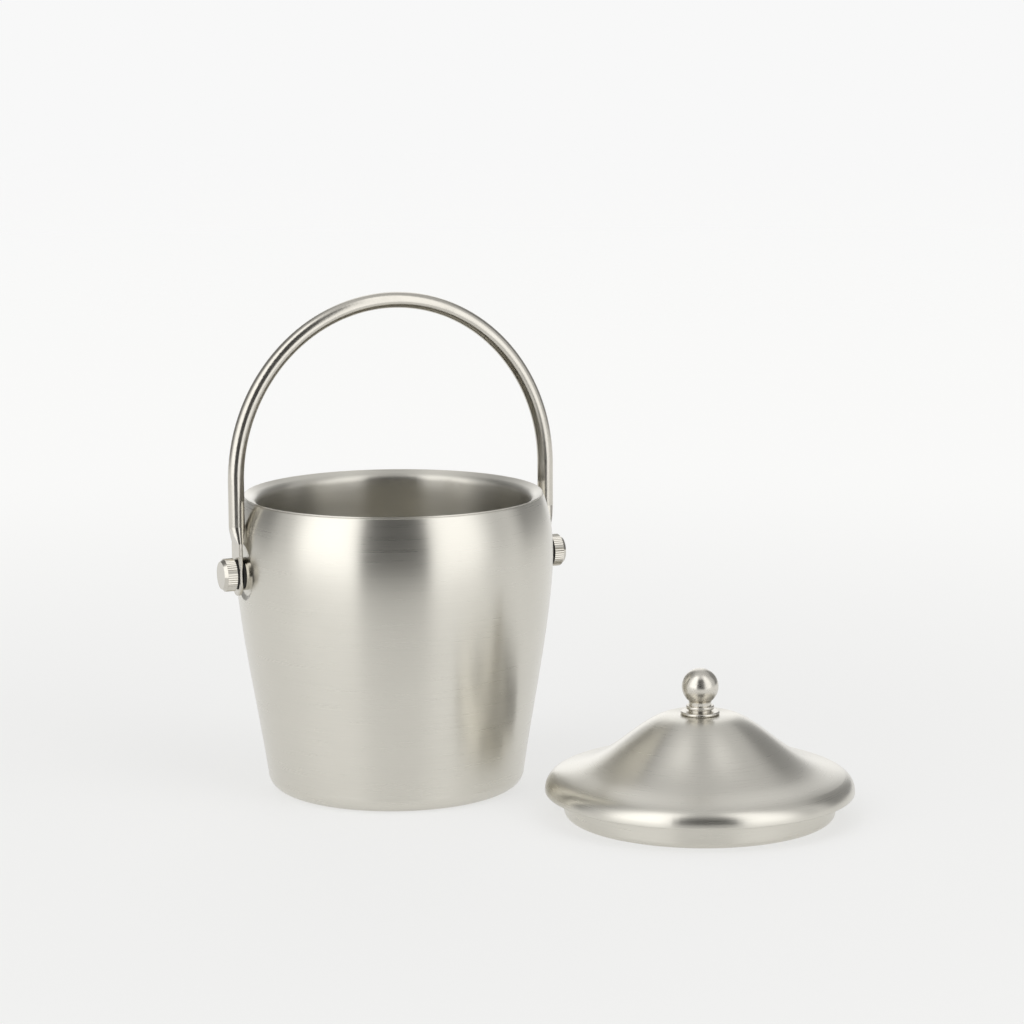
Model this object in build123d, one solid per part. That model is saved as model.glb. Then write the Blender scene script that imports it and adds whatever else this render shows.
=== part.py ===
from build123d import *
import math
import os

# Lidded double-wall ice bucket in stainless steel, with a swinging tube handle.
# Units are millimetres, +Z is up, and the origin is the centre of the bucket's base.
# The handle pivots about an axis along X. The lid lies on the table beside the bucket.

# Bucket body, outside
BUCKET_HEIGHT = 150.0
RIM_RADIUS = 75.0
BELLY_RADIUS = RIM_RADIUS + 5.3
BELLY_HEIGHT = BUCKET_HEIGHT - 32.0
FOOT_RADIUS = RIM_RADIUS - 9.9
FOOT_CORNER = 8.0
FOOT_RECESS = 1.6
FOOT_LAND = 8.0
FOOT_SLOPE = 3.5
BELLY_FULLNESS = 0.7
SHEET = 0.8

# Liner
AIR_GAP = 6.0
MOUTH_RADIUS = RIM_RADIUS - 6.0
LINER_FLOOR = 7.0
LINER_CORNER = 10.0
LIP_SLOPE_DEG = 24.0
LIP_FLAT = 3.6
LIP_DROP = 5.5
NECK_DEPTH = 22.0
WALL_LEAN = 0.1

# Handle and its pivots
PIVOT_HEIGHT = BELLY_HEIGHT - 3.8
LEG_HALF_SPAN = BELLY_RADIUS + 2.2
HANDLE_TOP = BUCKET_HEIGHT + 97.0
ARCH_START = BUCKET_HEIGHT + 10.0
TUBE_RADIUS = 4.0
TUBE_WALL = 1.0
TAB_WIDTH = 12.4
TAB_THICKNESS = 2.2
TAB_BELOW_PIVOT = 10.8
TAB_TOP_ABOVE_PIVOT = 16.0
FLATTEN_LENGTH = 8.0
PRESS_BULGE = 0.85
TAB_EDGE_ROUND = 0.7
BORE_TAPER_LENGTH = 6.4
BORE_END_THICKNESS = 0.25
BORE_END_WIDTH = 6.2

# Pivot stack, from the shell outward
BOSS_RADIUS = 8.2
BOSS_LENGTH = 2.1
WASHER_RADIUS = 7.4
WASHER_THICKNESS = 1.15
NUT_RADIUS = 8.2
NUT_KNURL_LENGTH = 4.8
NUT_KNURL_DEPTH = 0.3
NUT_KNURL_RIDGES = 44
NUT_COLLAR = 1.6
NUT_FACE_RADIUS = 6.8
STUD_RADIUS = 2.5
STUD_IN_NUT = 4.0
STUD_PAST_PLATE = 0.8
PLATE_RADIUS = 9.0
PLATE_THICKNESS = 1.8
SEAT_RADIUS = 11.0
SEAT_FLARE = 2.5
SEAT_REACH = 5.0

# Running clearances
PIVOT_CLEARANCE = 0.05
SIDE_CLEARANCE = 0.05

# Lid
LID_GAP = 7.8
LID_BEARING_DEG = -44.9
PLUG_RADIUS = MOUTH_RADIUS - 2.6
PLUG_TOP_RADIUS = PLUG_RADIUS + 0.5
PLUG_DEPTH = 12.0
PLUG_CORNER = 2.5
PAN_RECESS = 1.2
PAN_LAND = 6.0
BROW_RADIUS = RIM_RADIUS + 0.9
BROW_CURVE = 8.2
BROW_TURN_DEG = 66.0
VALLEY_RADIUS = BROW_RADIUS - 11.4
VALLEY_HEIGHT = 22.5
DOME_FOOT_RADIUS = BROW_RADIUS - 18.6
DOME_FOOT_HEIGHT = 24.8
DOME_MIDDLE_RADIUS = BROW_RADIUS - 31.7
DOME_MIDDLE_HEIGHT = 32.0
DOME_SHOULDER_RADIUS = BROW_RADIUS - 53.4
DOME_SHOULDER_HEIGHT = 47.7
DOME_TOP_RADIUS = 14.0
DOME_TOP = 50.0

# Lid knob and its fixing
BALL_RADIUS = 9.0
BALL_ABOVE_DOME = 13.8
KNOB_FLANGE_RADIUS = 9.6
KNOB_FLANGE = 1.7
KNOB_FLANGE_ROUND = 0.8
KNOB_WAIST_RADIUS = 5.6
KNOB_RING_RADIUS = 6.9
KNOB_RING = 2.0
KNOB_RING_ROUND = 0.8
KNOB_RING_HEIGHT = 3.6
KNOB_NECK_RADIUS = 5.5
KNOB_NECK_ROUND = 1.4
KNOB_SCREW_RADIUS = 2.0
KNOB_SCREW_IN_KNOB = 11.0
KNOB_SCREW_HEAD_RADIUS = 3.8
KNOB_SCREW_HEAD = 2.4
KNOB_WASHER_RADIUS = 6.0
KNOB_WASHER = 1.0

# Positions along the pivot axis, taken from the stack
TAB_INNER = LEG_HALF_SPAN - TAB_THICKNESS / 2
TAB_OUTER = LEG_HALF_SPAN + TAB_THICKNESS / 2
INNER_WASHER_OUT = TAB_INNER - SIDE_CLEARANCE
BOSS_OUT = INNER_WASHER_OUT - WASHER_THICKNESS
SEAT = BOSS_OUT - BOSS_LENGTH
OUTER_WASHER_IN = TAB_OUTER + SIDE_CLEARANCE
NUT_IN = OUTER_WASHER_IN + WASHER_THICKNESS
NUT_COLLAR_IN = NUT_IN + NUT_KNURL_LENGTH
NUT_OUT = NUT_COLLAR_IN + NUT_COLLAR
PLATE_OUT = SEAT - SHEET
PLATE_IN = PLATE_OUT - PLATE_THICKNESS
STUD_IN = PLATE_IN - STUD_PAST_PLATE
STUD_OUT = NUT_IN + STUD_IN_NUT
FOOT_FLAT_RADIUS = FOOT_RADIUS - FOOT_CORNER
LID_DISTANCE = BELLY_RADIUS + LID_GAP + BROW_RADIUS
WALL_STATIONS = 7
DOME_STATIONS = 24
MID_CORNER = math.sqrt(0.5)


def shell_radius(z):
    """Outside radius of the bucket at height z."""
    if z <= BELLY_HEIGHT:
        u = (z - FOOT_CORNER) / (BELLY_HEIGHT - FOOT_CORNER)
        widening = u + BELLY_FULLNESS * u * u * (1 - u)
        return FOOT_RADIUS + (BELLY_RADIUS - FOOT_RADIUS) * widening
    v = (z - BELLY_HEIGHT) / (BUCKET_HEIGHT - BELLY_HEIGHT)
    return BELLY_RADIUS - (BELLY_RADIUS - RIM_RADIUS) * v * v


def wall_points(inset, low, high):
    """Points up the wall, a given distance inside the bucket's outside."""
    steps = WALL_STATIONS - 1
    heights = [low + (high - low) * i / steps for i in range(WALL_STATIONS)]
    return [(shell_radius(z) - inset, z) for z in heights]


def spin(face):
    """Turn a half section in the XZ plane into a solid about Z."""
    return revolve(face, axis=Axis.Z)


def disc(radius, start, end):
    """Cylinder about the X axis, on the pivot's height, from start to end."""
    base = Plane(origin=(start, 0, PIVOT_HEIGHT), x_dir=(0, 1, 0), z_dir=(1, 0, 0))
    return extrude(base * Circle(radius), end - start)


def body_face(inset):
    """Half section of the bucket's outside, moved inward by inset."""
    corner = FOOT_CORNER - inset
    recess_edge = FOOT_FLAT_RADIUS - FOOT_LAND
    walls = wall_points(inset, FOOT_CORNER, BUCKET_HEIGHT)
    with BuildSketch(Plane.XZ) as section:
        with BuildLine():
            Line((0, BUCKET_HEIGHT), (0, FOOT_RECESS + inset))
            Line((0, FOOT_RECESS + inset), (recess_edge - FOOT_SLOPE, FOOT_RECESS + inset))
            Line((recess_edge - FOOT_SLOPE, FOOT_RECESS + inset), (recess_edge, inset))
            Line((recess_edge, inset), (FOOT_FLAT_RADIUS, inset))
            middle = (FOOT_FLAT_RADIUS + corner * MID_CORNER, FOOT_CORNER - corner * MID_CORNER)
            ThreePointArc((FOOT_FLAT_RADIUS, inset), middle, walls[0])
            Spline(*walls)
            Line(walls[-1], (0, BUCKET_HEIGHT))
        make_face()
    return section.sketch


def lip_face():
    """Half section of everything above the underside of the liner's rolled rim."""
    slope = math.radians(LIP_SLOPE_DEG)
    under = BUCKET_HEIGHT - SHEET / math.cos(slope)
    inner_drop = (RIM_RADIUS - MOUTH_RADIUS) * math.tan(slope)
    above = BUCKET_HEIGHT + SHEET
    with BuildSketch(Plane.XZ) as section:
        with BuildLine():
            Polyline(
                (MOUTH_RADIUS, under - inner_drop),
                (RIM_RADIUS, under),
                (RIM_RADIUS + SHEET, under),
                (RIM_RADIUS + SHEET, above),
                (MOUTH_RADIUS, above),
                close=True,
            )
        make_face()
    return section.sketch


def seat_tool(depth_plane):
    """Cone that presses a flat seat into the shell around a pivot."""
    grown = SEAT_RADIUS + SEAT_REACH * SEAT_FLARE
    near = Plane(origin=(depth_plane, 0, PIVOT_HEIGHT), x_dir=(0, 1, 0), z_dir=(1, 0, 0))
    far = near.offset(SEAT_REACH)
    return loft([near * Circle(SEAT_RADIUS), far * Circle(grown)])


def both_sides(solid):
    """A right-hand piece together with its mirror image on the left."""
    return solid + mirror(solid, about=Plane.YZ)


def outer_shell():
    outside = spin(body_face(0)) - both_sides(seat_tool(SEAT))
    inside = spin(body_face(SHEET)) - both_sides(seat_tool(SEAT - SHEET))
    stud_hole = both_sides(disc(STUD_RADIUS, SEAT - 2 * SHEET, BELLY_RADIUS))
    return outside - inside - stud_hole - spin(lip_face())


def liner_face(inset):
    """Half section of the space inside the liner at inset SHEET, and of its outside at inset 0."""
    slope = math.radians(LIP_SLOPE_DEG)
    grow = SHEET - inset
    floor = LINER_FLOOR + inset
    corner = LINER_CORNER - inset
    side = SHEET + AIR_GAP + inset
    low = LINER_FLOOR + LINER_CORNER
    neck = BUCKET_HEIGHT - LIP_DROP
    walls = wall_points(side, low, neck - NECK_DEPTH)
    flat_end = RIM_RADIUS - LIP_FLAT + grow * math.sin(slope)
    flat_low = BUCKET_HEIGHT - LIP_FLAT * math.tan(slope) - grow * math.cos(slope)
    rim_low = flat_low + (RIM_RADIUS - flat_end) * math.tan(slope)
    floor_edge = walls[0][0] - corner
    mouth = (MOUTH_RADIUS + grow, neck)
    with BuildSketch(Plane.XZ) as section:
        with BuildLine():
            Line((0, floor), (floor_edge, floor))
            middle = (floor_edge + corner * MID_CORNER, low - corner * MID_CORNER)
            ThreePointArc((floor_edge, floor), middle, walls[0])
            Spline(*walls, mouth, tangents=[(WALL_LEAN, 1), (0, 1)])
            Spline(mouth, (flat_end, flat_low), tangents=[(0, 1), (math.cos(slope), math.sin(slope))])
            Line((flat_end, flat_low), (RIM_RADIUS, rim_low))
            Line((RIM_RADIUS, rim_low), (RIM_RADIUS, BUCKET_HEIGHT + SHEET))
            Line((RIM_RADIUS, BUCKET_HEIGHT + SHEET), (0, BUCKET_HEIGHT + SHEET))
            Line((0, BUCKET_HEIGHT + SHEET), (0, floor))
        make_face()
    return section.sketch


def inner_liner():
    return spin(liner_face(0)) - spin(liner_face(SHEET))


def backing_plate():
    return disc(PLATE_RADIUS, PLATE_IN, PLATE_OUT) - disc(STUD_RADIUS, PLATE_IN, PLATE_OUT)


def pivot_stud():
    return disc(STUD_RADIUS, STUD_IN, STUD_OUT)


def pivot_boss():
    return disc(BOSS_RADIUS, SEAT, BOSS_OUT) - disc(STUD_RADIUS, SEAT, BOSS_OUT)


def washer(start):
    end = start + WASHER_THICKNESS
    return disc(WASHER_RADIUS, start, end) - disc(STUD_RADIUS, start, end)


def knurled_nut():
    ridge_count = 2 * NUT_KNURL_RIDGES
    outline = []
    for i in range(ridge_count):
        reach = NUT_RADIUS - NUT_KNURL_DEPTH * (i % 2)
        turn = math.tau * i / ridge_count
        outline.append((reach * math.cos(turn), reach * math.sin(turn)))
    base = Plane(origin=(NUT_IN, 0, PIVOT_HEIGHT), x_dir=(0, 1, 0), z_dir=(1, 0, 0))
    grip = extrude(base * make_face(Polyline(*outline, close=True)), NUT_KNURL_LENGTH)
    start = base.offset(NUT_KNURL_LENGTH)
    finish = base.offset(NUT_KNURL_LENGTH + NUT_COLLAR)
    shoulder_radius = NUT_RADIUS - NUT_KNURL_DEPTH
    collar = loft([start * Circle(shoulder_radius), finish * Circle(NUT_FACE_RADIUS)])
    return grip + collar - disc(STUD_RADIUS, NUT_IN, STUD_OUT)


def tube(radius):
    """Round bar of the given radius along the handle's arch, down to where it is flattened."""
    with BuildLine(Plane.XZ) as path:
        right = Line((LEG_HALF_SPAN, flatten_top()), (LEG_HALF_SPAN, ARCH_START))
        EllipticalCenterArc((0, ARCH_START), LEG_HALF_SPAN, HANDLE_TOP - ARCH_START, 0, arc_size=180)
        Line((-LEG_HALF_SPAN, ARCH_START), (-LEG_HALF_SPAN, flatten_top()))
    section = Plane(origin=right @ 0, z_dir=right % 0) * Circle(radius)
    return sweep(section, path=path.wire())


def flatten_top():
    return PIVOT_HEIGHT + TAB_TOP_ABOVE_PIVOT + FLATTEN_LENGTH


def flattening(start_radius, thickness, width, length):
    """Run of the tube pressed between two slanting faces, from round down to a flat end."""
    high = flatten_top()
    low = high - length
    start = Plane(origin=(LEG_HALF_SPAN, 0, high)) * Circle(start_radius)
    end = Plane(origin=(LEG_HALF_SPAN, 0, low)) * Ellipse(start_radius * PRESS_BULGE, width / 2)
    press = Polyline(
        (LEG_HALF_SPAN - start_radius, high),
        (LEG_HALF_SPAN + start_radius, high),
        (LEG_HALF_SPAN + thickness / 2, low),
        (LEG_HALF_SPAN - thickness / 2, low),
        close=True,
    )
    return loft([start, end]) & extrude(Plane.XZ * make_face(press), width, both=True)


def handle_tab():
    radius = TAB_WIDTH / 2
    end_centre = PIVOT_HEIGHT - TAB_BELOW_PIVOT + radius
    top = PIVOT_HEIGHT + TAB_TOP_ABOVE_PIVOT
    face = Plane(origin=(TAB_INNER, 0, end_centre), x_dir=(0, 1, 0), z_dir=(1, 0, 0))
    run = top - end_centre
    outline = Circle(radius) + Pos(0, run / 2) * Rectangle(TAB_WIDTH, run)
    tab = extrude(face * outline, TAB_THICKNESS)
    rims = tab.edges().filter_by(Axis.X, reverse=True)
    rims = rims.filter_by(lambda edge: edge.center().Z < top - TAB_EDGE_ROUND)
    tab = fillet(rims, TAB_EDGE_ROUND)
    return tab - disc(STUD_RADIUS + PIVOT_CLEARANCE, TAB_INNER, TAB_OUTER)


def handle():
    bore = TUBE_RADIUS - TUBE_WALL
    outside = flattening(TUBE_RADIUS, TAB_THICKNESS, TAB_WIDTH, FLATTEN_LENGTH)
    hollow = flattening(bore, BORE_END_THICKNESS, BORE_END_WIDTH, BORE_TAPER_LENGTH)
    ends = both_sides(outside + handle_tab())
    return tube(TUBE_RADIUS) + ends - tube(bore) - both_sides(hollow)


def dome_section():
    """Half section of the lid's dome sheet, from the straight lip round the brow to the top."""
    brow_centre = (BROW_RADIUS - BROW_CURVE, PLUG_DEPTH + SHEET)
    lip = Line((BROW_RADIUS, PLUG_DEPTH), (BROW_RADIUS, PLUG_DEPTH + SHEET))
    brow = CenterArc(brow_centre, BROW_CURVE, 0, BROW_TURN_DEG)
    slope = Spline(
        brow @ 1,
        (VALLEY_RADIUS, VALLEY_HEIGHT),
        (DOME_FOOT_RADIUS, DOME_FOOT_HEIGHT),
        (DOME_MIDDLE_RADIUS, DOME_MIDDLE_HEIGHT),
        (DOME_SHOULDER_RADIUS, DOME_SHOULDER_HEIGHT),
        (DOME_TOP_RADIUS, DOME_TOP),
        tangents=[brow % 1, (-1, 0)],
    )
    crown = Line(slope @ 1, (0, DOME_TOP))
    outside = [lip, brow, slope, crown]
    inside = [inner_side(edge) for edge in outside]
    ends = [Line(lip @ 0, inside[0] @ 0), Line(crown @ 1, inside[-1] @ 1)]
    return Plane.XZ * make_face(outside + inside + ends)


def inner_side(edge):
    """The inside of the sheet behind one edge of its outside."""
    points = inner_points(edge)
    if edge.geom_type == GeomType.LINE:
        return Line(points[0], points[-1])
    return Spline(*points)


def inner_points(curve):
    """Points one sheet thickness to the left of a curve, which is the inside of the sheet."""
    points = []
    for i in range(DOME_STATIONS + 1):
        place = i / DOME_STATIONS
        along = curve % place
        points.append(curve @ place + Vector(-along.Y, along.X) * SHEET)
    return points


def lid_dome():
    screw_hole = Pos(0, 0, DOME_TOP) * Cylinder(KNOB_SCREW_RADIUS, DOME_TOP)
    return spin(dome_section()) - screw_hole


def lid_pan():
    flange = BROW_RADIUS - SHEET
    recess_edge = PLUG_RADIUS - PAN_LAND
    with BuildSketch(Plane.XZ) as section:
        with BuildLine():
            Polyline(
                (0, PAN_RECESS),
                (recess_edge - PAN_RECESS, PAN_RECESS),
                (recess_edge, 0),
                (PLUG_RADIUS, 0),
                (PLUG_TOP_RADIUS, PLUG_DEPTH),
                (flange, PLUG_DEPTH),
                (flange, PLUG_DEPTH + SHEET),
                (PLUG_TOP_RADIUS - SHEET, PLUG_DEPTH + SHEET),
                (PLUG_RADIUS - SHEET, SHEET),
                (recess_edge, SHEET),
                (recess_edge - PAN_RECESS, PAN_RECESS + SHEET),
                (0, PAN_RECESS + SHEET),
                close=True,
            )
        make_face()
        fillet(section.vertices().sort_by_distance((PLUG_RADIUS, 0, 0))[0], PLUG_CORNER)
        inner_corner = (PLUG_RADIUS - SHEET, 0, SHEET)
        fillet(section.vertices().sort_by_distance(inner_corner)[0], PLUG_CORNER - SHEET)
    return spin(section.sketch)


def rounded_disc(radius, low, high, rounding):
    """Disc about Z with both rims rounded."""
    plate = Pos(0, 0, (low + high) / 2) * Cylinder(radius, high - low)
    return fillet(plate.edges().filter_by(Plane.XY), rounding)


def lid_knob():
    ring_low = KNOB_RING_HEIGHT - KNOB_RING / 2
    ring_high = KNOB_RING_HEIGHT + KNOB_RING / 2
    neck_length = BALL_ABOVE_DOME - KNOB_RING_HEIGHT
    neck_middle = KNOB_RING_HEIGHT + neck_length / 2
    flange = rounded_disc(KNOB_FLANGE_RADIUS, 0, KNOB_FLANGE, KNOB_FLANGE_ROUND)
    ring = rounded_disc(KNOB_RING_RADIUS, ring_low, ring_high, KNOB_RING_ROUND)
    waist = Pos(0, 0, KNOB_RING_HEIGHT / 2) * Cylinder(KNOB_WAIST_RADIUS, KNOB_RING_HEIGHT)
    top = Pos(0, 0, neck_middle) * Cylinder(KNOB_NECK_RADIUS, neck_length)
    top += Pos(0, 0, BALL_ABOVE_DOME) * Sphere(BALL_RADIUS)
    under_ball = top.edges().filter_by(Plane.XY).sort_by(Axis.Z)[-1]
    top = fillet(under_ball, KNOB_NECK_ROUND)
    bore = Pos(0, 0, KNOB_SCREW_IN_KNOB / 2) * Cylinder(KNOB_SCREW_RADIUS, KNOB_SCREW_IN_KNOB)
    return Pos(0, 0, DOME_TOP) * (flange + waist + ring + top - bore)


def knob_washer():
    top = DOME_TOP - SHEET
    plate = Cylinder(KNOB_WASHER_RADIUS, KNOB_WASHER) - Cylinder(KNOB_SCREW_RADIUS, KNOB_WASHER)
    return Pos(0, 0, top - KNOB_WASHER / 2) * plate


def knob_screw():
    head_top = DOME_TOP - SHEET - KNOB_WASHER
    shank = SHEET + KNOB_WASHER + KNOB_SCREW_IN_KNOB
    head = Pos(0, 0, head_top - KNOB_SCREW_HEAD / 2) * Cylinder(KNOB_SCREW_HEAD_RADIUS, KNOB_SCREW_HEAD)
    return head + Pos(0, 0, head_top + shank / 2) * Cylinder(KNOB_SCREW_RADIUS, shank)


def on_table(solid):
    """Move a piece of the lid to where the lid lies."""
    bearing = math.radians(LID_BEARING_DEG)
    return Pos(LID_DISTANCE * math.cos(bearing), LID_DISTANCE * math.sin(bearing), 0) * solid


def pieces():
    named = {
        "outer_shell": outer_shell(),
        "inner_liner": inner_liner(),
        "handle": handle(),
        "lid_dome": on_table(lid_dome()),
        "lid_pan": on_table(lid_pan()),
        "lid_knob": on_table(lid_knob()),
        "knob_screw": on_table(knob_screw()),
        "knob_washer": on_table(knob_washer()),
    }
    paired = {
        "backing_plate": backing_plate(),
        "pivot_stud": pivot_stud(),
        "pivot_boss": pivot_boss(),
        "inner_washer": washer(BOSS_OUT),
        "outer_washer": washer(OUTER_WASHER_IN),
        "knurled_nut": knurled_nut(),
    }
    for name, solid in paired.items():
        named[name + "_right"] = solid
        named[name + "_left"] = mirror(solid, about=Plane.YZ)
    return named


os.makedirs("parts", exist_ok=True)
for node, shape in pieces().items():
    export_step(shape, "parts/" + node + ".step")
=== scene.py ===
import math

import bmesh
import bpy
from bpy.props import FloatProperty, FloatVectorProperty, PointerProperty
from mathutils import Matrix, Vector


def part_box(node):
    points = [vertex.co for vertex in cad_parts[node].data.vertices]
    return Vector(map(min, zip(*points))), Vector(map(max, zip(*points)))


bl_info = {
    "name": "Ice Bucket Looks",
    "version": (1, 0, 0),
    "blender": (4, 5, 0),
    "location": "3D View > Sidebar > Ice Bucket",
    "description": "Metal and rubber finishes and a studio for a double-wall steel ice bucket",
    "category": "Object",
}

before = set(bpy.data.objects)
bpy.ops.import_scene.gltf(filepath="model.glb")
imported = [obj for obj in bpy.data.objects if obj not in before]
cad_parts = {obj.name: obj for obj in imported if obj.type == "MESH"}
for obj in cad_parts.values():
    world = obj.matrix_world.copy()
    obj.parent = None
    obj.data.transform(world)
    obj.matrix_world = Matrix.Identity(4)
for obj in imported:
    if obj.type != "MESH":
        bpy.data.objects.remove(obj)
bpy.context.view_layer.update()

MM = 0.001
SIDES = ("left", "right")
BUCKET_CENTRE = (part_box("outer_shell")[0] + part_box("outer_shell")[1]) / 2
LID_CENTRE = (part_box("lid_dome")[0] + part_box("lid_dome")[1]) / 2

# Brushed steel. Lengths are in millimetres. The liner's lines are this many times as far apart as the
# shell's, and the roughness swings this far between lines.
EASED_EDGE = 0.6
SCRATCH_DEPTH = 0.05
LINER_SPACING = 1.6
BRUSH_SWING = 0.025
CLOUDS_PER_METRE = 28.0

# Polished steel. The mottles are the sizes in millimetres of the patches that the mop leaves.
TUBE_MOTTLE = 9.0
TURNED_MOTTLE = 4.0
KNOB_MOTTLE = 3.0
PLAIN_MOTTLE = 2.0
PLAIN_ROUGHNESS = 0.35
HAZE_DEPTH = 0.03
HAZE_SHADE = 0.94

# Rubber. Mould grain is about 0.1 mm. It is drawn at 0.4 mm so that it shows.
RUBBER_GRAIN = 0.4
GRAIN_DEPTH = 0.03
RUBBER_BLOOM = "#1E1D1B"

# Most of a noise texture's values lie between these two.
NOISE_SPAN = {"From Min": 0.3, "From Max": 0.7}

# Camera, in metres and radians, with the bearing of its place in degrees
CAMERA_PLACE = (-0.5460, -1.5186, 0.4139)
CAMERA_LOOK = (0.3693, 0.9141, -0.1677)
CAMERA_ROLL = -0.0043
CAMERA_SHIFT = -0.006
CAMERA_BEARING = math.degrees(math.atan2(CAMERA_PLACE[1], CAMERA_PLACE[0]))
SENSOR_WIDTH = 36.0
FAR_LIMIT = 100.0

# Even light all round, and then each light panel. Angles are in degrees. The middle and half give the
# panel's width, with the middle counted to the right of the camera. Low and high give its height, and
# both ways have a softness. The light is what the panel adds.
SURROUND_LEVEL = 0.73
PANELS = (
    dict(middle=-49.5, half=27.0, side_soft=13.0, low=-35.0, high=74.0, end_soft=10.0, light=1.36),
    dict(middle=48.0, half=23.0, side_soft=14.0, low=-35.0, high=74.0, end_soft=10.0, light=1.16),
    dict(middle=180.0, half=75.0, side_soft=30.0, low=-30.0, high=45.0, end_soft=15.0, light=0.78),
    dict(middle=0.0, half=400.0, side_soft=1.0, low=66.0, high=120.0, end_soft=12.0, light=0.1),
)
# The dark gaps between the panels: where the camera stands, and to its left and right at the back. Their
# light is the share that each takes away.
GAPS = (
    dict(middle=0.0, half=25.0, side_soft=2.5, low=-60.0, high=55.0, end_soft=12.0, light=-0.88),
    dict(middle=-130.0, half=32.0, side_soft=10.0, low=-15.0, high=54.0, end_soft=12.0, light=-0.78),
    dict(middle=132.0, half=28.0, side_soft=10.0, low=-15.0, high=46.0, end_soft=12.0, light=-0.76),
)
BACKDROP = "#F8F8F8"

# The paper on the floor ends in front of the object, between these distances on the camera's side, in
# metres. All round it fades out between these shares of its radius, and its painted glow grows from near to
# far between these distances, in metres, so the floor is painted darker near the object.
PAPER_END = (0.5, 0.64)
PAPER_FADE = (0.2, 0.95)
PAINTED_GLOW_REACH = (0.2, 1.1)
FLOOR_SIDES = 128


# ---------------------------------------------------------------- small helpers

def linear(hex_code):
    """Linear colour from an sRGB hex code such as #B7B6B0."""
    values = [int(hex_code[i:i + 2], 16) / 255 for i in (1, 3, 5)]
    return tuple(v / 12.92 if v <= 0.04045 else ((v + 0.055) / 1.055) ** 2.4 for v in values) + (1.0,)


def add_node(tree, kind, links=None, **settings):
    """Adds one node.

    Links maps inputs to other nodes' sockets. Settings are attributes, and inputs= maps inputs to values."""
    node = tree.nodes.new(kind)
    inputs = settings.pop("inputs", {})
    for key, value in settings.items():
        setattr(node, key, value)
    for key, value in inputs.items():
        node.inputs[key].default_value = value
    for key, socket in (links or {}).items():
        tree.links.new(socket, node.inputs[key])
    return node


def new_material(name):
    """Empty node material and its tree."""
    material = bpy.data.materials.new(name)
    material.use_nodes = True
    material.node_tree.nodes.clear()
    return material, material.node_tree


def wear(node_name, material):
    """Gives a CAD node one material all over."""
    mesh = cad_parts[node_name].data
    mesh.materials.clear()
    mesh.materials.append(material)


# ---------------------------------------------------------------- materials

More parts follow.
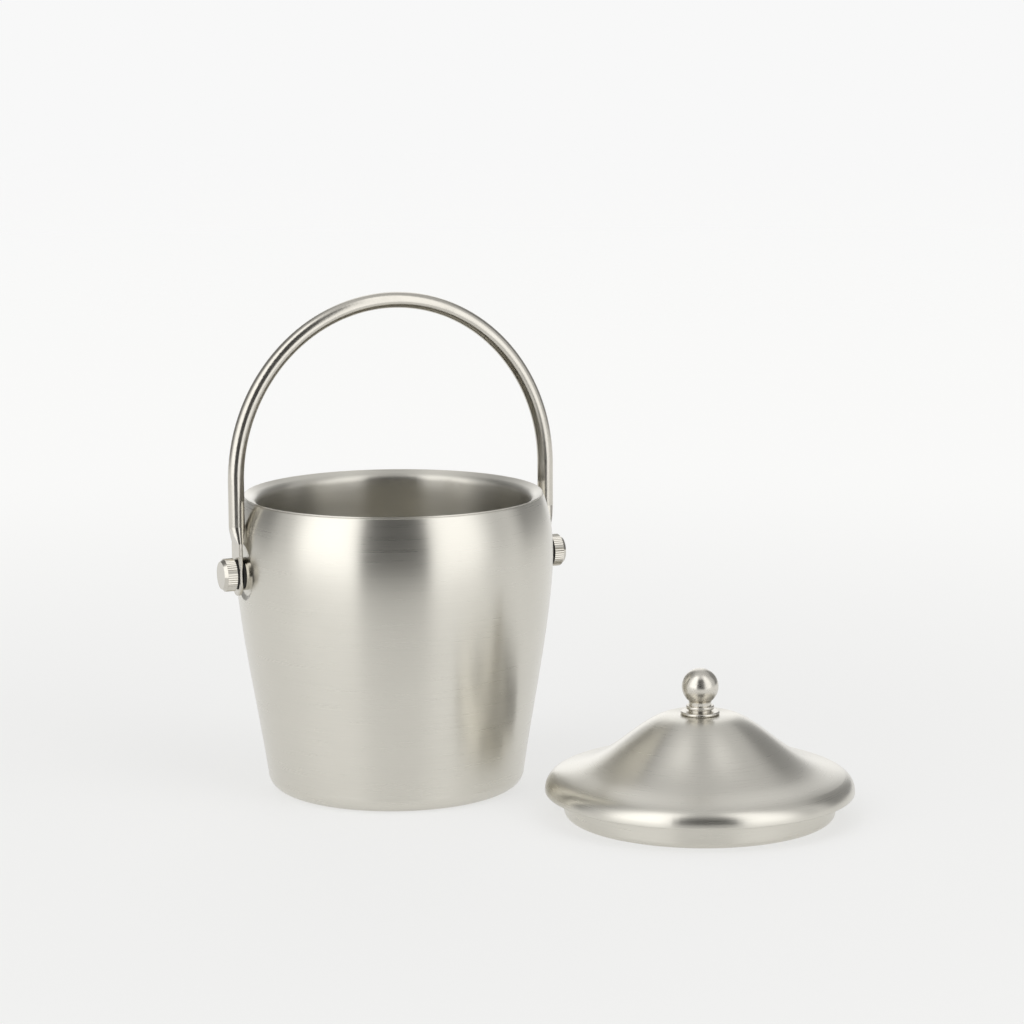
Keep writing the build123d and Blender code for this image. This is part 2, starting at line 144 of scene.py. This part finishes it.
def brushed_steel(name, centre, line_mm, roughness, streak, tint):
    """Stainless steel brushed in rings around a vertical axis.

    The belt leaves fine level scratches, so lights smear up and down and stay crisp sideways."""
    material, tree = new_material(name)
    place = add_node(tree, "ShaderNodeTexCoord")
    offset = add_node(
        tree, "ShaderNodeVectorMath", {0: place.outputs["Object"]},
        operation="SUBTRACT", inputs={1: (centre.x, centre.y, 0)},
    )
    axes = add_node(tree, "ShaderNodeSeparateXYZ", {0: offset.outputs[0]})
    flat = add_node(tree, "ShaderNodeCombineXYZ", {"X": axes.outputs["X"], "Y": axes.outputs["Y"]})
    radius = add_node(tree, "ShaderNodeVectorMath", {0: flat.outputs[0]}, operation="LENGTH")
    around = add_node(tree, "ShaderNodeVectorMath", {0: flat.outputs[0]}, operation="NORMALIZE")
    rise = add_node(
        tree, "ShaderNodeMath", {0: axes.outputs["Z"], 1: radius.outputs["Value"]}, operation="SUBTRACT"
    )
    # Real scratches are 0.05 to 0.2 mm apart. They are drawn about 1 mm apart so that they show.
    across = add_node(
        tree, "ShaderNodeMath", {0: rise.outputs[0]}, operation="MULTIPLY", inputs={1: 1 / (line_mm * MM)}
    )
    arc = add_node(tree, "ShaderNodeSeparateXYZ", {0: around.outputs[0]})
    place_on_ring = add_node(
        tree, "ShaderNodeCombineXYZ", {"X": arc.outputs["X"], "Y": arc.outputs["Y"], "Z": across.outputs[0]}
    )
    scratches = add_node(
        tree, "ShaderNodeTexNoise", {"Vector": place_on_ring.outputs[0]},
        inputs={"Scale": 1.3, "Detail": 5.0, "Roughness": 0.72},
    )
    cloud = add_node(
        tree, "ShaderNodeTexNoise", {"Vector": place.outputs["Object"]},
        inputs={"Scale": CLOUDS_PER_METRE, "Detail": 2.0, "Roughness": 0.5},
    )
    rough = add_node(
        tree, "ShaderNodeMapRange", {"Value": scratches.outputs["Fac"]},
        inputs={**NOISE_SPAN, "To Min": roughness - BRUSH_SWING, "To Max": roughness + BRUSH_SWING},
    )
    shade = add_node(
        tree, "ShaderNodeMapRange", {"Value": scratches.outputs["Fac"]},
        inputs={"From Min": 0.25, "From Max": 0.75, "To Min": 0.965, "To Max": 1.015},
    )
    patch = add_node(
        tree, "ShaderNodeMapRange", {"Value": cloud.outputs["Fac"]},
        inputs={**NOISE_SPAN, "To Min": 0.985, "To Max": 1.015},
    )
    both = add_node(
        tree, "ShaderNodeMath", {0: shade.outputs[0], 1: patch.outputs[0]}, operation="MULTIPLY"
    )
    colour = add_node(
        tree, "ShaderNodeVectorMath", {"Scale": both.outputs[0]}, operation="SCALE", inputs={0: tint[:3]}
    )
    # Brushing rounds every edge by about half a millimetre, so a rim shows as a thin bright line.
    eased = add_node(tree, "ShaderNodeBevel", samples=6, inputs={"Radius": EASED_EDGE * MM})
    bump = add_node(
        tree, "ShaderNodeBump", {"Height": scratches.outputs["Fac"], "Normal": eased.outputs["Normal"]},
        inputs={"Strength": 0.02, "Distance": SCRATCH_DEPTH * MM},
    )
    ring = add_node(tree, "ShaderNodeTangent", direction_type="RADIAL", axis="Z")
    shader = add_node(
        tree,
        "ShaderNodeBsdfPrincipled",
        {
            "Base Color": colour.outputs[0],
            "Roughness": rough.outputs[0],
            "Normal": bump.outputs[0],
            "Tangent": ring.outputs[0],
        },
        inputs={"Metallic": 1.0, "Anisotropic": streak, "Anisotropic Rotation": 0.25},
    )
    add_node(tree, "ShaderNodeOutputMaterial", {"Surface": shader.outputs[0]})
    return material


def polished_steel(name, tint, roughness, mottle_mm):
    """Stainless steel buffed bright.

    Buffing leaves a near mirror with a faint haze, a little uneven where the mop dwelt."""
    material, tree = new_material(name)
    place = add_node(tree, "ShaderNodeTexCoord")
    haze = add_node(
        tree, "ShaderNodeTexNoise", {"Vector": place.outputs["Object"]},
        inputs={"Scale": 1 / (mottle_mm * MM), "Detail": 4.0, "Roughness": 0.55},
    )
    rough = add_node(
        tree, "ShaderNodeMapRange", {"Value": haze.outputs["Fac"]},
        inputs={**NOISE_SPAN, "To Min": roughness * 0.75, "To Max": roughness * 1.3},
    )
    colour = add_node(
        tree, "ShaderNodeMixRGB", {"Fac": haze.outputs["Fac"]},
        inputs={"Color1": tint, "Color2": [v * HAZE_SHADE for v in tint[:3]] + [1.0]},
    )
    bump = add_node(
        tree, "ShaderNodeBump", {"Height": haze.outputs["Fac"]},
        inputs={"Strength": 0.02, "Distance": HAZE_DEPTH * MM},
    )
    shader = add_node(
        tree, "ShaderNodeBsdfPrincipled",
        {"Base Color": colour.outputs[0], "Roughness": rough.outputs[0], "Normal": bump.outputs[0]},
        inputs={"Metallic": 1.0},
    )
    add_node(tree, "ShaderNodeOutputMaterial", {"Surface": shader.outputs[0]})
    return material


def moulded_rubber(name, tint):
    """Black nitrile rubber, cut from moulded sheet.

    It is nearly black with a dull soft shine and a fine powdery grain."""
    material, tree = new_material(name)
    place = add_node(tree, "ShaderNodeTexCoord")
    grain = add_node(
        tree, "ShaderNodeTexNoise", {"Vector": place.outputs["Object"]},
        inputs={"Scale": 1 / (RUBBER_GRAIN * MM), "Detail": 3.0, "Roughness": 0.6},
    )
    colour = add_node(
        tree, "ShaderNodeMixRGB", {"Fac": grain.outputs["Fac"]},
        inputs={"Color1": tint, "Color2": linear(RUBBER_BLOOM)},
    )
    rough = add_node(
        tree, "ShaderNodeMapRange", {"Value": grain.outputs["Fac"]}, inputs={"To Min": 0.5, "To Max": 0.7}
    )
    bump = add_node(
        tree, "ShaderNodeBump", {"Height": grain.outputs["Fac"]},
        inputs={"Strength": 0.3, "Distance": GRAIN_DEPTH * MM},
    )
    shader = add_node(
        tree, "ShaderNodeBsdfPrincipled",
        {"Base Color": colour.outputs[0], "Roughness": rough.outputs[0], "Normal": bump.outputs[0]},
        inputs={"IOR": 1.52},
    )
    add_node(tree, "ShaderNodeOutputMaterial", {"Surface": shader.outputs[0]})
    return material


def paper_with_painted_glow(name, stage):
    """Matt white paper that glows with painted light of its own.

    Part of its look is emitted light. This painted light keeps the shadows on it pale and also lights the
    object from below. It fades out far away, so the floor has no edge."""
    material, tree = new_material(name)
    place = add_node(tree, "ShaderNodeTexCoord")
    reach = add_node(tree, "ShaderNodeVectorMath", {0: place.outputs["Object"]}, operation="LENGTH")
    fade = add_node(
        tree, "ShaderNodeMapRange", {"Value": reach.outputs["Value"]}, interpolation_type="SMOOTHSTEP",
        inputs={
            "From Min": stage.floor_radius * PAPER_FADE[0],
            "From Max": stage.floor_radius * PAPER_FADE[1],
        },
    )
    toward_camera = Vector(CAMERA_PLACE).to_2d().normalized().to_3d()
    ahead = add_node(
        tree, "ShaderNodeVectorMath", {0: place.outputs["Object"]},
        operation="DOT_PRODUCT", inputs={1: toward_camera},
    )
    front = add_node(
        tree, "ShaderNodeMapRange", {"Value": ahead.outputs["Value"]}, interpolation_type="SMOOTHSTEP",
        inputs={"From Min": PAPER_END[0], "From Max": PAPER_END[1]},
    )
    # Only reflections see the paper's front end. Looked at directly, the floor goes on.
    path = add_node(tree, "ShaderNodeLightPath")
    front_end = add_node(
        tree, "ShaderNodeMath", {0: front.outputs[0], 1: path.outputs["Is Camera Ray"]},
        operation="SUBTRACT", use_clamp=True,
    )
    ends = add_node(
        tree, "ShaderNodeMath", {0: fade.outputs[0], 1: front_end.outputs[0]}, operation="MAXIMUM"
    )
    paper = add_node(tree, "ShaderNodeBsdfDiffuse", inputs={"Color": stage.floor_tint})
    # Painted shade and light: the floor's own glow is weaker near the object and stronger far away.
    painted_glow_level = add_node(
        tree, "ShaderNodeMapRange", {"Value": reach.outputs["Value"]}, interpolation_type="SMOOTHSTEP",
        inputs={
            "From Min": PAINTED_GLOW_REACH[0],
            "From Max": PAINTED_GLOW_REACH[1],
            "To Min": stage.floor_painted_glow,
            "To Max": stage.floor_painted_glow_far,
        },
    )
    glow = add_node(
        tree, "ShaderNodeEmission", {"Strength": painted_glow_level.outputs[0]}, inputs={"Color": stage.floor_tint}
    )
    # Painted light: this share of the floor's look is its own emitted glow, which no shadow darkens.
    lit = add_node(
        tree, "ShaderNodeMixShader", {1: paper.outputs[0], 2: glow.outputs[0]},
        inputs={0: stage.floor_painted_glow_share},
    )
    clear = add_node(tree, "ShaderNodeBsdfTransparent")
    blend = add_node(
        tree, "ShaderNodeMixShader", {0: ends.outputs[0], 1: lit.outputs[0], 2: clear.outputs[0]}
    )
    add_node(tree, "ShaderNodeOutputMaterial", {"Surface": blend.outputs[0]})
    return material


# ---------------------------------------------------------------- studio light

def span_of_angles(tree, angle, centre, half, soft, wraps):
    """One inside a span of angles, falling smoothly to zero outside it."""
    turn = add_node(
        tree, "ShaderNodeMath", {0: angle}, operation="SUBTRACT", inputs={1: math.radians(centre)}
    )
    if wraps:
        turn = add_node(
            tree, "ShaderNodeMath", {0: turn.outputs[0]}, operation="WRAP", inputs={1: math.pi, 2: -math.pi}
        )
    away = add_node(tree, "ShaderNodeMath", {0: turn.outputs[0]}, operation="ABSOLUTE")
    edge = add_node(
        tree, "ShaderNodeMapRange", {"Value": away.outputs[0]}, interpolation_type="SMOOTHSTEP",
        inputs={
            "From Min": math.radians(half - soft),
            "From Max": math.radians(half + soft),
            "To Min": 1.0,
            "To Max": 0.0,
        },
    )
    return edge.outputs[0]


def panel_light(tree, bearing, height, middle, half, side_soft, low, high, end_soft, light):
    """Light that one panel of the studio adds in each direction."""
    across = span_of_angles(tree, bearing, CAMERA_BEARING + middle, half, side_soft, True)
    upright = span_of_angles(tree, height, (low + high) / 2, (high - low) / 2, end_soft, False)
    both = add_node(tree, "ShaderNodeMath", {0: across, 1: upright}, operation="MULTIPLY")
    return add_node(
        tree, "ShaderNodeMath", {0: both.outputs[0]}, operation="MULTIPLY", inputs={1: light}
    ).outputs[0]


# ---------------------------------------------------------------- settings

class ICE_BUCKET_PG_finish(bpy.types.PropertyGroup):
    """Colours and finishes of the metal and rubber."""

    satin_tint: FloatVectorProperty(
        name="Satin steel", description="Colour of the brushed walls",
        default=linear("#DAD7CE"), size=4, min=0.0, max=1.0, subtype="COLOR",
    )
    bright_tint: FloatVectorProperty(
        name="Bright steel", description="Colour of the polished parts",
        default=linear("#D0CCC3"), size=4, min=0.0, max=1.0, subtype="COLOR",
    )
    knob_tint: FloatVectorProperty(
        name="Knob steel", description="Colour of the lid's knob",
        default=linear("#DAD6CD"), size=4, min=0.0, max=1.0, subtype="COLOR",
    )
    rubber_tint: FloatVectorProperty(
        name="Rubber", description="Colour of the washers",
        default=linear("#121110"), size=4, min=0.0, max=1.0, subtype="COLOR",
    )
    satin_roughness: FloatProperty(
        name="Satin roughness", description="How far lights blur on the brushed walls",
        default=0.29, min=0.05, max=0.9, subtype="FACTOR",
    )
    satin_streak: FloatProperty(
        name="Satin streak", description="How much longer lights smear across the brush lines",
        default=0.8, min=0.0, max=1.0, subtype="FACTOR",
    )
    liner_roughness: FloatProperty(
        name="Liner roughness", description="How far lights blur on the liner",
        default=0.34, min=0.05, max=0.9, subtype="FACTOR",
    )
    liner_streak: FloatProperty(
        name="Liner streak", description="How much longer lights smear across the liner's brush lines",
        default=0.97, min=0.0, max=1.0, subtype="FACTOR",
    )
    bright_roughness: FloatProperty(
        name="Bright roughness", description="How far lights blur on the nuts and bosses",
        default=0.1, min=0.01, max=0.9, subtype="FACTOR",
    )
    tube_roughness: FloatProperty(
        name="Handle roughness", description="How far lights blur on the handle",
        default=0.2, min=0.01, max=0.9, subtype="FACTOR",
    )
    knob_roughness: FloatProperty(
        name="Knob roughness", description="How far lights blur on the lid's knob",
        default=0.25, min=0.01, max=0.9, subtype="FACTOR",
    )
    scratch_spacing: FloatProperty(
        name="Scratch spacing", description="Distance between brush lines in millimetres",
        default=1.0, min=0.1, max=5.0,
    )


class ICE_BUCKET_PG_stage(bpy.types.PropertyGroup):
    """Floor and camera."""

    floor_tint: FloatVectorProperty(
        name="Floor", description="Colour of the floor",
        default=linear("#F0F0EF"), size=4, min=0.0, max=1.0, subtype="COLOR",
    )
    floor_radius: FloatProperty(
        name="Floor radius", description="Radius of the floor", default=6.0, min=1.0, unit="LENGTH"
    )
    # Painted light: the floor's own glow near the object and far from it, which keeps its shadows pale.
    floor_painted_glow: FloatProperty(
        name="Floor light", description="Light that comes up through the floor near the object",
        default=1.15, min=0.0,
    )
    floor_painted_glow_far: FloatProperty(
        name="Far floor light", description="Light that comes up through the floor away from the object",
        default=1.3, min=0.0,
    )
    # Painted light: the share of the floor's look that is its own emitted glow, which no shadow darkens.
    floor_painted_glow_share: FloatProperty(
        name="Floor light share", description="Share of the floor's look that is its own light",
        default=0.6, min=0.0, max=1.0, subtype="FACTOR",
    )
    lens: FloatProperty(
        name="Lens", description="Focal length of the camera in millimetres", default=114.2, min=20.0
    )


# ---------------------------------------------------------------- operators

class ICE_BUCKET_OT_walls(bpy.types.Operator):
    """Brushed finish on the outer shell and the liner"""

    bl_idname = "ice_bucket.walls"
    bl_label = "Brushed Walls"

    def execute(self, context):
        finish = context.scene.ice_bucket_finish
        shell = brushed_steel(
            "stainless_brushed_shell", BUCKET_CENTRE, finish.scratch_spacing,
            finish.satin_roughness, finish.satin_streak, finish.satin_tint,
        )
        liner = brushed_steel(
            "stainless_brushed_liner", BUCKET_CENTRE, finish.scratch_spacing * LINER_SPACING,
            finish.liner_roughness, finish.liner_streak, finish.satin_tint,
        )
        wear("outer_shell", shell)
        wear("inner_liner", liner)
        return {"FINISHED"}


class ICE_BUCKET_OT_lid(bpy.types.Operator):
    """Brushed finish on the lid's dome and pan"""

    bl_idname = "ice_bucket.lid"
    bl_label = "Brushed Lid"

    def execute(self, context):
        finish = context.scene.ice_bucket_finish
        lid = brushed_steel(
            "stainless_brushed_lid", LID_CENTRE, finish.scratch_spacing,
            finish.satin_roughness, finish.satin_streak, finish.satin_tint,
        )
        for node in ("lid_dome", "lid_pan"):
            wear(node, lid)
        return {"FINISHED"}


class ICE_BUCKET_OT_bright_parts(bpy.types.Operator):
    """Polished finish on the handle, nuts, bosses and knob"""

    bl_idname = "ice_bucket.bright_parts"
    bl_label = "Polished Parts"

    def execute(self, context):
        finish = context.scene.ice_bucket_finish
        bar = polished_steel(
            "stainless_polished_tube", finish.bright_tint, finish.tube_roughness, TUBE_MOTTLE
        )
        turned = polished_steel(
            "stainless_polished_turned", finish.bright_tint, finish.bright_roughness, TURNED_MOTTLE
        )
        knob = polished_steel(
            "stainless_satin_turned", finish.knob_tint, finish.knob_roughness, KNOB_MOTTLE
        )
        wear("handle", bar)
        wear("lid_knob", knob)
        for side in SIDES:
            wear("knurled_nut_" + side, turned)
            wear("pivot_boss_" + side, turned)
        return {"FINISHED"}


class ICE_BUCKET_OT_fixings(bpy.types.Operator):
    """Plain steel on the hidden fixings and rubber on the washers"""

    bl_idname = "ice_bucket.fixings"
    bl_label = "Fixings and Washers"

    def execute(self, context):
        finish = context.scene.ice_bucket_finish
        plain = polished_steel(
            "stainless_plain_fixings", finish.satin_tint, PLAIN_ROUGHNESS, PLAIN_MOTTLE
        )
        rubber = moulded_rubber("nitrile_rubber_moulded", finish.rubber_tint)
        for node in ("knob_screw", "knob_washer"):
            wear(node, plain)
        for side in SIDES:
            wear("backing_plate_" + side, plain)
            wear("pivot_stud_" + side, plain)
            wear("inner_washer_" + side, rubber)
            wear("outer_washer_" + side, rubber)
        return {"FINISHED"}


class ICE_BUCKET_OT_stage(bpy.types.Operator):
    """Pale floor, soft studio light and the camera"""

    bl_idname = "ice_bucket.stage"
    bl_label = "Studio Stage"

    def execute(self, context):
        stage = context.scene.ice_bucket_stage
        self.build_floor(context.scene, stage)
        self.build_surround(context.scene)
        self.build_camera(context.scene, stage)
        context.scene.view_settings.view_transform = "Standard"
        return {"FINISHED"}

    def build_floor(self, scene, stage):
        mesh = bpy.data.meshes.new("floor")
        shape = bmesh.new()
        bmesh.ops.create_circle(shape, cap_ends=True, segments=FLOOR_SIDES, radius=stage.floor_radius)
        shape.to_mesh(mesh)
        shape.free()
        floor = bpy.data.objects.new("floor", mesh)
        scene.collection.objects.link(floor)
        mesh.materials.append(paper_with_painted_glow("paper_matt_painted_glow", stage))

    def build_surround(self, scene):
        world = bpy.data.worlds.new("studio")
        scene.world = world
        world.use_nodes = True
        tree = world.node_tree
        tree.nodes.clear()
        place = add_node(tree, "ShaderNodeTexCoord")
        axes = add_node(tree, "ShaderNodeSeparateXYZ", {0: place.outputs["Generated"]})
        bearing = add_node(
            tree, "ShaderNodeMath", {0: axes.outputs["Y"], 1: axes.outputs["X"]}, operation="ARCTAN2"
        )
        height = add_node(tree, "ShaderNodeMath", {0: axes.outputs["Z"]}, operation="ARCSINE")
        total = add_node(tree, "ShaderNodeValue").outputs[0]
        total.default_value = SURROUND_LEVEL
        for panel in PANELS:
            part = panel_light(tree, bearing.outputs[0], height.outputs[0], **panel)
            total = add_node(tree, "ShaderNodeMath", {0: total, 1: part}, operation="ADD").outputs[0]
        for gap in GAPS:
            part = panel_light(tree, bearing.outputs[0], height.outputs[0], **gap)
            total = add_node(
                tree, "ShaderNodeMath", {0: total, 1: part, 2: total}, operation="MULTIPLY_ADD"
            ).outputs[0]
        light = add_node(tree, "ShaderNodeBackground", {"Strength": total})
        # Looked at directly, the studio is one plain pale backdrop.
        seen = add_node(tree, "ShaderNodeBackground", inputs={"Color": linear(BACKDROP), "Strength": 1.0})
        path = add_node(tree, "ShaderNodeLightPath")
        blend = add_node(
            tree, "ShaderNodeMixShader",
            {0: path.outputs["Is Camera Ray"], 1: light.outputs[0], 2: seen.outputs[0]},
        )
        add_node(tree, "ShaderNodeOutputWorld", {"Surface": blend.outputs[0]})

    def build_camera(self, scene, stage):
        data = bpy.data.cameras.new("camera")
        data.lens = stage.lens
        data.sensor_width = SENSOR_WIDTH
        data.shift_x = CAMERA_SHIFT
        data.clip_end = FAR_LIMIT
        camera = bpy.data.objects.new("camera", data)
        scene.collection.objects.link(camera)
        look = Vector(CAMERA_LOOK).normalized()
        side = look.cross(Vector((0, 0, 1))).normalized()
        right = side * math.cos(CAMERA_ROLL) + side.cross(look) * math.sin(CAMERA_ROLL)
        turn = Matrix((right, right.cross(look), -look)).transposed()
        camera.matrix_world = Matrix.Translation(CAMERA_PLACE) @ turn.to_4x4()
        scene.camera = camera


# ---------------------------------------------------------------- sidebar and registration

class ICE_BUCKET_PT_panel(bpy.types.Panel):
    """Lists the finishes and the stage"""

    bl_idname = "ICE_BUCKET_PT_panel"
    bl_label = "Ice Bucket"
    bl_space_type = "VIEW_3D"
    bl_region_type = "UI"
    bl_category = "Ice Bucket"

    def draw(self, context):
        layout = self.layout
        for group in (context.scene.ice_bucket_finish, context.scene.ice_bucket_stage):
            for name in group.__annotations__:
                layout.prop(group, name)
        for operator in OPERATORS:
            layout.operator(operator.bl_idname)


OPERATORS = (
    ICE_BUCKET_OT_walls,
    ICE_BUCKET_OT_lid,
    ICE_BUCKET_OT_bright_parts,
    ICE_BUCKET_OT_fixings,
    ICE_BUCKET_OT_stage,
)
CLASSES = (ICE_BUCKET_PG_finish, ICE_BUCKET_PG_stage) + OPERATORS + (ICE_BUCKET_PT_panel,)


def register():
    for cls in CLASSES:
        bpy.utils.register_class(cls)
    bpy.types.Scene.ice_bucket_finish = PointerProperty(type=ICE_BUCKET_PG_finish)
    bpy.types.Scene.ice_bucket_stage = PointerProperty(type=ICE_BUCKET_PG_stage)


def unregister():
    del bpy.types.Scene.ice_bucket_stage
    del bpy.types.Scene.ice_bucket_finish
    for cls in reversed(CLASSES):
        bpy.utils.unregister_class(cls)


def main():
    register()
    bpy.ops.ice_bucket.walls()
    bpy.ops.ice_bucket.lid()
    bpy.ops.ice_bucket.bright_parts()
    bpy.ops.ice_bucket.fixings()
    bpy.ops.ice_bucket.stage()


if __name__ == "__main__":
    main()
